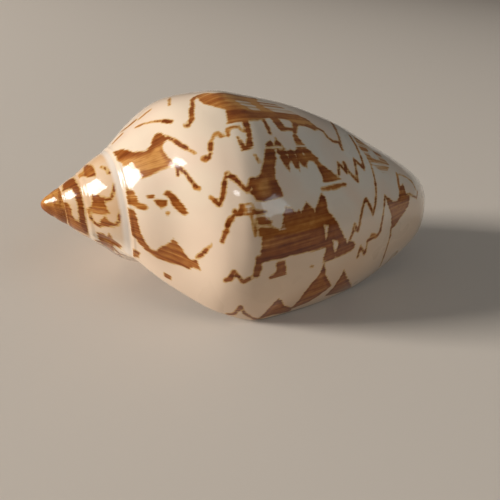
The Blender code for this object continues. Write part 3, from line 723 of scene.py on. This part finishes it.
# Changes of tone within a patch: name, darkness, share of amber, cover, points.
SHADES = (
    ("ramp, great, upper rim", 0.80, 0.0, 1.0, (110, 150), (121, 148), (134, 151), (145, 149),
     (150, 145), (153, 137), (156, 132), (161, 131), (168, 136), (170, 140), (164, 142),
     (160, 145), (155, 149), (150, 154), (140, 157), (130, 158), (120, 160), (114, 156)),
    ("ramp, great, right rim", 0.75, 0.0, 1.0, (160, 146), (165, 152), (173, 159), (180, 168),
     (171, 165), (163, 156)),
    ("ramp, great, foot", 0.55, 0.0, 1.0, (137, 171), (150, 171), (160, 168), (158, 172),
     (145, 179), (139, 178)),
    ("back band, left", 0.50, 0.0, 0.70, (190, 92), (222, 92), (225, 103), (226, 109), (216, 108),
     (204, 105), (198, 101)),
    ("back band, block", 0.58, 0.0, 1.0, (219, 101), (232, 102), (243, 108), (250, 113),
     (262, 114), (271, 118), (262, 121), (250, 122), (240, 123), (229, 127), (225, 112)),
    ("back band, pale gap", 0.20, 0.0, 0.52, (232, 97.5), (246, 99.5), (258, 107), (264, 112),
     (254, 112), (243, 106), (235, 102)),
    ("back band, far", 0.32, 0.0, 0.52, (252, 96), (264, 99), (282, 106), (302, 116), (296, 119),
     (280, 115), (268, 110), (258, 104)),
    ("front, upper patch", 0.12, 0.0, 0.53, (346, 128), (366, 140), (384, 154), (393, 166),
     (386, 178), (374, 168), (358, 150)),
    ("upper row, right", 0.45, 0.0, 0.90, (299, 149), (310, 151), (318, 160), (308, 161),
     (298, 159)),
    ("upper row, arm", 0.50, 0.0, 0.95, (318, 163), (330, 170), (341, 180), (325, 178)),
    ("keel band, paler", 0.22, 0.0, 0.90, (257, 183), (267, 180), (271, 188), (270, 195),
     (265, 198), (258, 194)),
    ("upright band, paler", 0.55, 0.0, 1.0, (262, 159), (276, 158), (275, 165), (262, 164)),
    ("upright band, second paler", 0.45, 0.0, 1.0, (260, 172), (276, 171), (277, 178), (262, 180)),
    ("knob, stain", 0.05, 0.0, 0.40, (243.5, 203), (252, 202), (254, 215), (245, 217)),
    ("great patch, amber corner", 0.42, 0.0, 1.0, (262, 240), (274, 237), (278, 246), (274, 251),
     (262, 250)),
    ("great patch, dark edge", 0.95, 0.0, 1.0, (262, 250), (284, 246), (311, 246), (326, 244),
     (324, 263), (300, 256), (262, 263)),
    ("great patch, paler", 0.60, 0.0, 1.0, (284, 212), (298, 214), (310, 209), (318, 216),
     (316, 228), (300, 236), (284, 232)),
    ("great patch, left part", 0.55, 0.0, 0.52, (254, 215), (272, 215), (287, 220), (288, 230),
     (282, 233), (262, 234), (256, 230)),
    ("great patch, upper stripe", 0.62, 0.0, 1.0, (257, 218.5), (274, 219), (274, 224.5),
     (257, 224.5)),
    ("great patch, lower stripe", 0.70, 0.0, 1.0, (258, 228.5), (276, 228), (283, 234),
     (258, 236)),
    ("great patch, amber stripe", 0.50, 0.0, 1.0, (286, 216), (300, 218), (314, 216), (328, 213),
     (332, 217), (316, 222), (300, 224), (286, 222)),
    ("great patch, second amber stripe", 0.62, 0.0, 1.0, (270, 240), (300, 236), (322, 232),
     (322, 236), (300, 241), (270, 246)),
    ("tip, lower", 0.85, 0.1, 1.0, (45, 206), (56, 207), (64, 214), (66, 226), (50, 219)),
    ("spire, middle patch, foot", 0.45, 0.0, 1.0, (86, 204), (106, 204), (111, 215), (88, 214)),
    ("low band, inner part", 0.50, 0.0, 0.85, (160, 247), (173, 238), (184, 252), (176, 254),
     (166, 251)),
    ("suture tail, pale", 0.45, 0.0, 0.70, (126, 188), (138, 192), (150, 207), (138, 205),
     (130, 198)),
)
# Pale lines where growth rested: name, width in mm, points in the picture.
RESTS = (
    ("upper rest", 0.30, (238, 153.5), (250, 150.8), (262, 148.5), (273, 147.6), (283, 147),
     (297, 145.8), (310, 146)),
    ("row, slit", 0.13, (284, 150), (290, 160), (293, 166)),
    ("row, second slit", 0.13, (293, 151), (299, 161), (302, 166)),
    ("row, third slit", 0.10, (302, 151), (306, 159)),
    ("front rest", 0.22, (318, 187), (330, 184), (345, 181)),
)

SHELL_MIDDLE = (250, 205)
PULLS = np.linspace(0, 0.3, 61)
REACH_MM = 3.0
SHORT_TURN_MM, SHORT_WHORL_MM = 40.0, 60.0
FAR_FROM_MARKS_MM = 6.0
PLAIN_DARKNESS = 0.6
THREAD_FEATHER, PATCH_FEATHER = 0.5, 1.0
SHADE_EDGE_MM = 0.8

outer = skin >= 1.0
tree = BVHTree.FromPolygons(places.tolist(), faces[:outer_faces])


def on_shell(x, y):
    """Stage and place down the whorl under a point of the picture: the ray from
    the camera meets a face, and its corners' values are mixed by nearness. A
    point just off the outline is drawn inwards until its ray meets the shell."""
    for pull in PULLS:
        u, v = x + pull * (SHELL_MIDDLE[0] - x), y + pull * (SHELL_MIDDLE[1] - y)
        ray = view_right * (u - PICTURE / 2) - view_up * (v - PICTURE / 2) + forward * FOCAL_PIXELS
        place, _, face, _ = tree.ray_cast(VIEW_PLACE, ray.normalized())
        if place is not None:
            break
    corners = faces[face]
    weights = np.array(poly_3d_calc([Vector(places[k]) for k in corners], place))
    corner_stage, corner_down = stage[corners], place_down[corners]
    ahead = corner_stage < corner_stage.max() - 0.5
    corner_down = np.where(ahead, ATTACH, corner_down)
    corner_stage = np.where(ahead, corner_stage + 1.0, corner_stage)
    return weights @ np.stack([corner_stage, corner_down], axis=1)


def on_one_whorl(spots):
    """Stages and places down of a mark's points. A point that falls a turn away
    from the middle one lies just past the seam, and is drawn back to it."""
    path = np.array([on_shell(*spot) for spot in spots])
    turns = np.round(path[:, 0] - np.median(path[:, 0]))
    path[:, 1] = np.where(turns > 0, 0.0, np.where(turns < 0, ATTACH, path[:, 1]))
    path[:, 0] -= turns
    return path


def near(path):
    """Numbers of the skin points within a few mm of the path's box."""
    margin = REACH_MM / np.array([SHORT_TURN_MM, SHORT_WHORL_MM])
    low, high = path.min(axis=0) - margin, path.max(axis=0) + margin
    return np.where(outer & (stage > low[0]) & (stage < high[0])
                    & (place_down > low[1]) & (place_down < high[1]))[0]


def away(picked, path, end):
    """Distance in mm from skin points to a path from each point to the next: the
    nearest of its pieces, measured by the lengths of a turn and of the whorl."""
    scale = np.stack([around[picked], along[picked]], axis=1)[:, None]
    at = np.stack([stage[picked], place_down[picked]], axis=1)[:, None]
    piece = (end - path)[None] * scale
    rel = (at - path[None]) * scale
    t = np.clip((rel * piece).sum(axis=2) / np.maximum((piece * piece).sum(axis=2), 1e-9), 0, 1)
    return np.linalg.norm(rel - t[..., None] * piece, axis=2).min(axis=1)


def within(picked, path):
    """Whether skin points lie in a closed path: an odd number of its sides are
    crossed on the way down the whorl."""
    at, down_at = stage[picked][:, None], place_down[picked][:, None]
    end = np.roll(path, -1, axis=0)
    spans = (path[None, :, 0] > at) != (end[None, :, 0] > at)
    run = end[:, 0] - path[:, 0]
    run = np.where(np.abs(run) < 1e-9, 1e-9, run)
    crossing = path[None, :, 1] + (at - path[None, :, 0]) / run * (end - path)[None, :, 1]
    return (spans & (crossing > down_at)).sum(axis=1) % 2 == 1


def along_line(path, half, drawn=slice(None)):
    """Skin points near an open path, and how deep in mm each lies in a line of a
    half width along it: the half width less the distance to the steps drawn."""
    picked = near(path)
    return picked, half - away(picked, path[:-1][drawn], path[1:][drawn])


def inside(path):
    """Skin points near a closed path, and how deep in mm each lies in it: the
    distance to its nearest side, and less than nothing outside it."""
    picked = near(path)
    side_at = away(picked, path, np.roll(path, -1, axis=0))
    return picked, np.where(within(picked, path), side_at, -side_at)


# What the skin holds at each point: how deep in a mark in mm, how dark, how
# amber in the middle, how much of it is covered, and how ragged its edge is.
brown = np.full(len(places), -FAR_FROM_MARKS_MM)
darkness = np.full(len(places), PLAIN_DARKNESS)
amber_middle = np.zeros(len(places))
cover = np.ones(len(places))
feather = np.full(len(places), THREAD_FEATHER)


def draw(marked, dark, middle=0.0, ragged=THREAD_FEATHER):
    """Lay a mark over the others: keep the greater depth, and its darkness."""
    picked, depth = marked
    over = depth > brown[picked]
    chosen = picked[over]
    brown[chosen] = depth[over]
    darkness[chosen] = dark
    amber_middle[chosen] = middle
    feather[chosen] = ragged


for name, width, dark, *spots in THREADS:
    draw(along_line(on_one_whorl(spots), width / 2), dark)
for name, dark, middle, *spots in PATCHES:
    draw(inside(on_one_whorl(spots)), dark, middle, PATCH_FEATHER)
for name, dark, middle, covered, *spots in SHADES:
    picked, depth = inside(on_one_whorl(spots))
    share = ease((depth + SHADE_EDGE_MM) / (2 * SHADE_EDGE_MM))
    for held, wanted in ((cover, covered), (darkness, dark), (amber_middle, middle)):
        held[picked] += (wanted - held[picked]) * share
for name, *spots in CLEAR:
    picked, depth = inside(on_one_whorl(spots))
    brown[picked] = np.minimum(brown[picked], -depth)
for name, width, *spots in RESTS:
    picked, depth = along_line(on_one_whorl(spots), width)
    brown[picked] = np.minimum(brown[picked], -depth)

# The side away from the view: threads and tents of the same kind, drawn at
# random places from a fixed seed. A mark's stage is less the further down it
# lies, because the lip slants.
SEED = 41
LIP_SLANT = 0.16
THREAD_STAGES = 0.450 + 0.041 * np.arange(14)
THREAD_POINTS, THREAD_END = 25, 0.97
STEPS_DRAWN, TENTS_DRAWN = 0.72, 0.75
# Rows of tents: place down the whorl, greatest width.
TENT_ROWS = ((0.07, 0.06), (0.20, 0.12), (0.38, 0.24), (0.68, 0.22), (0.86, 0.10))
TENT_START, TENT_END, TENT_SPACING = 0.49, 0.95, 0.105
TENT_AMBER = 0.2
TENT_NARROWING, TENT_DROP = 1.6, 0.6
TOOTH_WIDTH = 0.065
FOOT_DEPTHS = (0.55, 0.40)
SPIRE_TENTS, SPIRE_TENT_DARKNESS = np.arange(1.46, 1.99, 0.065), 0.65
# Ranges of the random draws: first for threads, then for a tent's teeth, for
# the tents in rows and for those on the spire.
THREAD_FIRST_DOWN, THREAD_DOWN, THREAD_SWAY = 0.02, (0.020, 0.055), (0.003, 0.024)
THREAD_HALF_MM, THREAD_DARKNESS = (0.28, 0.42), (0.7, 0.95)
TOOTH_PEAK, TOOTH_FOOT, TENT_SLANT = (0.5, 1.3), (-0.2, 0.45), (-0.25, 0.25)
TOOTH_SHIFT, TOOTH_ASIDE = (-0.06, 0.06), (-0.02, 0.02)
TENT_SHIFT, TENT_DOWN_SHIFT = (-0.025, 0.025), (-0.02, 0.02)
TENT_HEIGHT, TENT_WIDTH, TENT_DARKNESS = (0.030, 0.060), (0.45, 1.0), (0.70, 1.0)
SPIRE_TENT_DOWN = (0.035, 0.06)
SPIRE_TENT_HEIGHT, SPIRE_TENT_WIDTH = (0.014, 0.024), (0.03, 0.06)
# Bands on the spire: start, stop, share of the way down the strip, half width.
SPIRE_BANDS = ((2.42, 2.93, 0.80, 1.0), (3.40, 3.97, 0.55, 0.9))
BAND_POINTS, BAND_DARKNESS = 24, 0.7

random = np.random.default_rng(SEED)


def tents(centre, high, wide):
    """A patch like a row of tents: a slanting straight foot toward the lip, and
    an upper edge that zigzags between low and high points, some teeth long. The
    edge is drawn in at both ends by the square of the distance from the middle."""
    corners = 2 * int(round(wide / TOOTH_WIDTH)) + 3
    across = np.linspace(-0.5, 0.5, corners) + random.uniform(*TOOTH_SHIFT, corners)
    peaks, feet = random.uniform(*TOOTH_PEAK, corners), random.uniform(*TOOTH_FOOT, corners)
    tops = np.where(np.arange(corners) % 2, peaks, feet)
    tops = tops * (1 - TENT_NARROWING * across ** 2) - TENT_DROP * across ** 2
    slant = random.uniform(*TENT_SLANT)
    aside = across + random.uniform(*TOOTH_ASIDE, corners)
    upper = np.stack([high * (tops + slant * across), wide * aside], axis=1)
    foot = np.array([(high * (slant * 0.5 - FOOT_DEPTHS[0]), wide * 0.5),
                     (high * (-slant * 0.5 - FOOT_DEPTHS[1]), -wide * 0.5)])
    return np.array(centre) + np.concatenate([upper, foot])


for start_at in THREAD_STAGES:
    steps_down = random.uniform(*THREAD_DOWN, THREAD_POINTS - 1)
    down_at = np.cumsum(np.r_[THREAD_FIRST_DOWN, steps_down])
    side = np.where(np.arange(THREAD_POINTS) % 2, 1, -1)
    sway = side * random.uniform(*THREAD_SWAY, THREAD_POINTS)
    path = np.stack([start_at + sway - LIP_SLANT * down_at, down_at], axis=1)
    path = path[down_at < THREAD_END]
    drawn = random.random(len(path) - 1) < STEPS_DRAWN
    half = random.uniform(*THREAD_HALF_MM)
    draw(along_line(path, half, drawn), random.uniform(*THREAD_DARKNESS))
for down_at, widest in TENT_ROWS:
    for slot in np.arange(TENT_START - LIP_SLANT * down_at, TENT_END, TENT_SPACING):
        centre = (slot + random.uniform(*TENT_SHIFT),
                  down_at + random.uniform(*TENT_DOWN_SHIFT))
        high, wide = random.uniform(*TENT_HEIGHT), random.uniform(*TENT_WIDTH) * widest
        if random.random() < TENTS_DRAWN:
            path = tents(centre, high, wide)
            draw(inside(path), random.uniform(*TENT_DARKNESS), TENT_AMBER, PATCH_FEATHER)
for slot in SPIRE_TENTS:
    centre = slot, random.uniform(*SPIRE_TENT_DOWN)
    high, wide = random.uniform(*SPIRE_TENT_HEIGHT), random.uniform(*SPIRE_TENT_WIDTH)
    draw(inside(tents(centre, high, wide)), SPIRE_TENT_DARKNESS, TENT_AMBER, PATCH_FEATHER)
for start_at, stop_at, share_down, half in SPIRE_BANDS:
    run = np.linspace(start_at, stop_at, BAND_POINTS)
    path = np.stack([run, np.full(BAND_POINTS, share_down * ATTACH)], axis=1)
    draw(along_line(path, half), BAND_DARKNESS)

# The newly hatched whorl at the tip is stained all over, and darker below.
TIP_DEPTH_MM, TIP_UNMARKED_MM = 0.5, 0.1
TIP_DARK_SPAN = 0.0012
TIP_PALE, TIP_DARKER = 0.15, 0.60
tip_stain = outer & (stage >= SPIRE_TURNS - 1) & (brown < TIP_UNMARKED_MM)
below = places[tip_stain, 2].mean() - places[tip_stain, 2]
brown[tip_stain] = TIP_DEPTH_MM
darkness[tip_stain] = TIP_PALE + TIP_DARKER * ease(below / TIP_DARK_SPAN + 0.5)
amber_middle[tip_stain] = 0.0

# Values that the finish reads besides: the band of glaze on the older whorl
# beside the seam, the newest part by the lip, whose warmer ground is partly
# its own tan and partly painted warm shade, the spire, and the grain, a place
# in mm whose first two parts stay the same along a line of growth.
GLAZE_SPAN = (0.80, 0.06)
GLAZE_END_SPAN = (1.7, 0.2)
# Where the ground by the lip is warmer: partly its own tan, partly painted warm shade.
LIP_SHADE_STAGE, LIP_SHADE_LENGTH = 0.20, 0.14
SPIRE_SIDE_SPAN = (1.0, 0.1)
LINE_SLANT, LINE_START = 0.075, 0.22
TURN_RADIUS_MM, WHORL_MM, STAGE_MM = 33.0, 103.0, 20.0
INSIDE_PLACE = 0.3
on_strip = np.where((stage > 1.0) & outer, place_down / ATTACH, 0.0)
slant = angle_of + 2 * np.pi * LINE_SLANT * np.clip(place_down - LINE_START, 0, None)
grain = np.stack([TURN_RADIUS_MM * np.cos(slant), TURN_RADIUS_MM * np.sin(slant),
                  WHORL_MM * place_down + STAGE_MM * stage], axis=1)
stored = {
    "brown": brown, "darkness": darkness, "amber_middle": amber_middle,
    "cover": cover, "feather": feather,
    "lip_tan_and_painted_shade": outer * ease((LIP_SHADE_STAGE - stage) / LIP_SHADE_LENGTH),
    "glaze": onset(on_strip, *GLAZE_SPAN) * (1 - onset(stage, *GLAZE_END_SPAN)),
    "skin": skin,
    "spire_side": outer * onset(stage, *SPIRE_SIDE_SPAN),
    "grain": grain,
    "place_down": np.where(outer, place_down, INSIDE_PLACE),
}
for name, values in stored.items():
    kind, field = ("FLOAT_VECTOR", "vector") if name == "grain" else ("FLOAT", "value")
    kept = sheet.attributes.new(name, kind, "POINT")
    kept.data.foreach_set(field, values.astype(np.float32).ravel())

# The finish: cream ground under a hard polish, brown pigment in it.
CREAM = (0.80, 0.65, 0.50)
IVORY = (0.76, 0.68, 0.58)
ROSE = (0.80, 0.60, 0.46)
# Peach and buff by the lip: partly the shell's tan, partly painted warm shade; the buff, lower
# down, is darker.
PEACH_AND_PAINTED_SHADE = (0.79, 0.595, 0.44)
BUFF_AND_PAINTED_SHADE = (0.76, 0.53, 0.35)
SPIRE_GROUND = (0.71, 0.46, 0.27)
GLAZE = (0.84, 0.74, 0.65)
LINING = (0.80, 0.56, 0.38)
FRINGE = (0.62, 0.34, 0.08)
BROWNS = (
    # share of pigment, colour
    (0.00, (0.60, 0.28, 0.070)),
    (0.30, (0.42, 0.150, 0.028)),
    (0.62, (0.27, 0.070, 0.010)),
    (1.00, (0.140, 0.026, 0.003)),
)
# Where the pigment's fringe, body and middle set in, by the depth in mm, and
# where a thin cover shows it, by the weave.
FRINGE_EDGE = (-0.42, -0.04)
BODY_EDGE = (-0.10, 0.16)
MIDDLE_EDGE = (0.30, 1.30)
COVER_EDGE = (0.40, 0.60)
# Where the ground turns from the ramp's to the side's, and by the lip from
# peach to the darker buff of painted shade, by the place down.
SIDE_GROUND = (0.18, 0.46)
LIP_SHADE_GROUND = (0.24, 0.34)
# How much the clouds sway the edge, in mm, and the tone, and how much of the
# tone comes from the darkness and goes in an amber middle.
EDGE_WAVER, EDGE_BEADS = 0.8, 0.25
TONE_STREAK, TONE_WIDE_STREAK, TONE_BEADS = 0.80, 1.2, 0.4
TONE_DARKNESS, TONE_AMBER = 0.78, -0.55
# What the weave is made of, and how much the cover sways it.
WEAVE_WIDE, WEAVE_FINE, COVER_SWAY = 0.6, 0.4, 0.8
# How much of the ground each of these covers at most.
FRINGE_SHARE, GLAZE_SHARE, LIP_SHADE_SHARE = 0.85, 0.85, 0.8
# What the patchy cloud does: its lower and upper end, then what it gives there
# as the share of rose, as the share of the spire's ground and as roughness.
ROSE_BY_CLOUD = (0.40, 0.70, 0.0, 0.6)
SPIRE_BY_CLOUD = (0.30, 0.70, 0.60, 1.0)
ROUGHNESS_BY_CLOUD = (0.30, 0.70, 0.26, 0.34)
# The relief of the growth lines: strength, and height in metres.
RELIEF_STRENGTH, RELIEF_HEIGHT = 0.12, 0.0001
# Clouds: size in mm, twice across the lines of growth and once along them.
STREAK = (0.60, 0.60, 14.0)
WIDE_STREAK = (1.5, 1.5, 40.0)
BEADS = (1.1, 1.1, 1.5)
WAVER = (2.0, 2.0, 2.6)
PATCHY = (14.0, 14.0, 14.0)

finish = bpy.data.materials.new("polished_shell")
finish.use_nodes = True
nodes, links = finish.node_tree.nodes, finish.node_tree.links
surface = nodes["Principled BSDF"]
surface.inputs["Coat Roughness"].default_value = 0.07
surface.inputs["Specular IOR Level"].default_value = 0.08
surface.inputs["Coat IOR"].default_value = 1.42
surface.inputs["Coat Weight"].default_value = 1.0
surface.inputs["IOR"].default_value = 1.5


def value(name, part="Fac"):
    """A value stored on the sheet."""
    node = nodes.new("ShaderNodeAttribute")
    node.attribute_name = name
    return node.outputs[part]


def wire(out, into):
    """Join an output, a plain number or a colour to an input."""
    if isinstance(out, (int, float)):
        into.default_value = out
    elif isinstance(out, tuple):
        into.default_value = (*out, 1.0)
    else:
        links.new(out, into)


def sum_of(kind, a, b=0.0, c=0.0):
    """One step of arithmetic on two or three values."""
    node = nodes.new("ShaderNodeMath")
    node.operation = kind
    for into, out in zip(node.inputs, (a, b, c)):
        wire(out, into)
    return node.outputs[0]


def times(a, b):
    """One value times another."""
    return sum_of("MULTIPLY", a, b)


def swayed(x, noise, amount):
    """A value moved by a cloud: x plus the amount times (noise less a half)."""
    return sum_of("MULTIPLY_ADD", sum_of("SUBTRACT", noise, 0.5), amount, x)


def rise(x, start, stop, low=0.0, high=1.0):
    """Smooth rise from low to high as x goes from start to stop."""
    node = nodes.new("ShaderNodeMapRange")
    node.interpolation_type = "SMOOTHSTEP"
    for into, out in zip(node.inputs, (x, start, stop, low, high)):
        wire(out, into)
    return node.outputs[0]


def blend(share, a, b):
    """Mix of two colours by a share."""
    node = nodes.new("ShaderNodeMix")
    node.data_type = "RGBA"
    for into, out in (("Factor", share), ("A", a), ("B", b)):
        wire(out, node.inputs[into])
    return node.outputs["Result"]


def cloud(vector, size, detail=2.0):
    """Soft noise on a vector whose three parts are each divided by a length."""
    place = nodes.new("ShaderNodeMapping")
    place.inputs["Scale"].default_value = tuple(1.0 / length for length in size)
    links.new(vector, place.inputs["Vector"])
    node = nodes.new("ShaderNodeTexNoise")
    node.inputs["Scale"].default_value = 1.0
    node.inputs["Detail"].default_value = detail
    links.new(place.outputs[0], node.inputs["Vector"])
    return node.outputs["Fac"]


along_growth = value("grain", "Vector")
streak, wide_streak = cloud(along_growth, STREAK), cloud(along_growth, WIDE_STREAK)
beads, waver = cloud(along_growth, BEADS, 1.0), cloud(along_growth, WAVER)
patchy = cloud(along_growth, PATCHY)
place_of = value("place_down")
depth = value("brown")

# Where pigment lies: its edge is frayed along the growth, in an amber fringe
# and then the brown body, and worn through where it is only partly covered.
ragged = swayed(depth, streak, value("feather"))
ragged = swayed(ragged, waver, EDGE_WAVER)
ragged = swayed(ragged, beads, EDGE_BEADS)
weave = sum_of("ADD", times(wide_streak, WEAVE_WIDE), times(streak, WEAVE_FINE))
shown = rise(swayed(weave, value("cover"), COVER_SWAY), *COVER_EDGE)
stain = times(rise(ragged, *FRINGE_EDGE), shown)
body = times(rise(ragged, *BODY_EDGE), shown)

# How dark it is: less in an amber middle, and streaked.
tone = times(value("darkness"), TONE_DARKNESS)
amber = times(rise(depth, *MIDDLE_EDGE), value("amber_middle"))
tone = sum_of("MULTIPLY_ADD", amber, TONE_AMBER, tone)
tone = swayed(tone, streak, TONE_STREAK)
tone = swayed(tone, wide_streak, TONE_WIDE_STREAK)
tone = swayed(tone, beads, TONE_BEADS)
shades = nodes.new("ShaderNodeValToRGB")
stops = shades.color_ramp.elements
for share_of, brown_of in BROWNS[1:-1]:
    stops.new(share_of)
for stop, (share_of, brown_of) in zip(stops, BROWNS):
    stop.position = share_of
    stop.color = (*brown_of, 1.0)
wire(tone, shades.inputs["Fac"])

# The ground, with painted warm shade by the lip that is darker lower down,
# then the pigment, the glaze over both and the inner side.
ground = blend(rise(place_of, *SIDE_GROUND), CREAM, IVORY)
ground = blend(rise(patchy, *ROSE_BY_CLOUD), ground, ROSE)
# Painted warm shade by the lip: peach, turning to a darker buff lower down.
lip_ground_and_painted_shade = blend(rise(place_of, *LIP_SHADE_GROUND), PEACH_AND_PAINTED_SHADE, BUFF_AND_PAINTED_SHADE)
ground = blend(times(value("lip_tan_and_painted_shade"), LIP_SHADE_SHARE), ground, lip_ground_and_painted_shade)
spire_share = times(value("spire_side"), rise(patchy, *SPIRE_BY_CLOUD))
ground = blend(spire_share, ground, SPIRE_GROUND)
colour = blend(times(stain, FRINGE_SHARE), ground, FRINGE)
colour = blend(body, colour, shades.outputs["Color"])
colour = blend(times(value("glaze"), GLAZE_SHARE), colour, GLAZE)
colour = blend(value("skin"), LINING, colour)
wire(colour, surface.inputs["Base Color"])
wire(rise(patchy, *ROUGHNESS_BY_CLOUD), surface.inputs["Roughness"])
bump = nodes.new("ShaderNodeBump")
bump.inputs["Strength"].default_value = RELIEF_STRENGTH
bump.inputs["Distance"].default_value = RELIEF_HEIGHT
wire(wide_streak, bump.inputs["Height"])
wire(bump.outputs[0], surface.inputs["Normal"])
sheet.materials.append(finish)

# The floor. A plain pale sheet, matt and without pattern, that the shell lies
# on. It is laid flat at the height of the shell's lowest point.
FLOOR_HALF = 3.0
FLOOR_COLOUR = (0.65, 0.578, 0.506, 1.0)
FLOOR_ROUGHNESS = 0.9
floor_corners = FLOOR_HALF * np.array([(-1, -1, 0), (1, -1, 0), (1, 1, 0), (-1, 1, 0)])
floor_sheet = bpy.data.meshes.new("floor")
floor_sheet.from_pydata(floor_corners.tolist(), [], [(0, 1, 2, 3)])
floor = put("floor", floor_sheet)
pale = bpy.data.materials.new("pale_floor")
pale.use_nodes = True
pale_surface = pale.node_tree.nodes["Principled BSDF"]
pale_surface.inputs["Base Color"].default_value = FLOOR_COLOUR
pale_surface.inputs["Roughness"].default_value = FLOOR_ROUGHNESS
floor_sheet.materials.append(pale)

# The light. A soft key low on the spire side, a dim cool fill high beyond the
# front end, and panes that only show in the polish, all in a dim warm room.
LIT_POINT = Vector((0.0, 0.0, 0.025))
ROOM_BELOW = (0.060, 0.045, 0.034, 1.0)
ROOM_ABOVE = (0.165, 0.155, 0.145, 1.0)


def window(name, bearing, height, distance, size, power, colour, lights=True, mirrored=True):
    """A rectangle of light, at a bearing from +Y toward +X and a height above the
    floor seen from the shell, that faces the shell. It lights the shell, or shows
    in its polish, or both."""
    b, h = np.radians(bearing), np.radians(height)
    ray = Vector((np.sin(b) * np.cos(h), np.cos(b) * np.cos(h), np.sin(h)))
    lamp = bpy.data.lights.new(name, "AREA")
    lamp.shape = "RECTANGLE"
    lamp.size, lamp.size_y = size
    lamp.energy = power
    lamp.color = colour
    stand = put(name, lamp)
    facing = ray.to_track_quat("Z", "Y").to_matrix().to_4x4()
    stand.matrix_world = Matrix.Translation(LIT_POINT + ray * distance) @ facing
    stand.visible_diffuse = lights
    stand.visible_glossy = mirrored


window("key", -76.0, 17.5, 2.2, (0.50, 0.50), 71.0, (1.0, 0.97, 0.92), mirrored=False)
window("high fill", 132.0, 42.0, 2.0, (1.2, 1.2), 6.0, (0.80, 0.93, 1.0), mirrored=False)
window("window pane", -81.5, 26.0, 1.3, (0.56, 0.37), 13.0, (1.0, 0.98, 0.95), lights=False)
window("second window", 149.0, 23.0, 2.0, (0.88, 0.52), 4.5, (0.78, 0.93, 1.0), lights=False)
window("small lamp", -151.0, 35.5, 2.0, (0.13, 0.13), 0.8, (0.95, 0.97, 1.0), lights=False)

room = bpy.data.worlds.new("room")
room.use_nodes = True
sky = room.node_tree
toward = sky.nodes.new("ShaderNodeTexCoord")
split = sky.nodes.new("ShaderNodeSeparateXYZ")
climb = sky.nodes.new("ShaderNodeMapRange")
tint = sky.nodes.new("ShaderNodeMix")
tint.data_type = "RGBA"
tint.inputs["A"].default_value = ROOM_BELOW
tint.inputs["B"].default_value = ROOM_ABOVE
for out, into in ((toward.outputs["Generated"], split.inputs[0]),
                  (split.outputs["Z"], climb.inputs["Value"]),
                  (climb.outputs[0], tint.inputs["Factor"]),
                  (tint.outputs["Result"], sky.nodes["Background"].inputs["Color"])):
    sky.links.new(out, into)
bpy.context.scene.view_settings.view_transform = "Standard"
bpy.context.scene.world = room
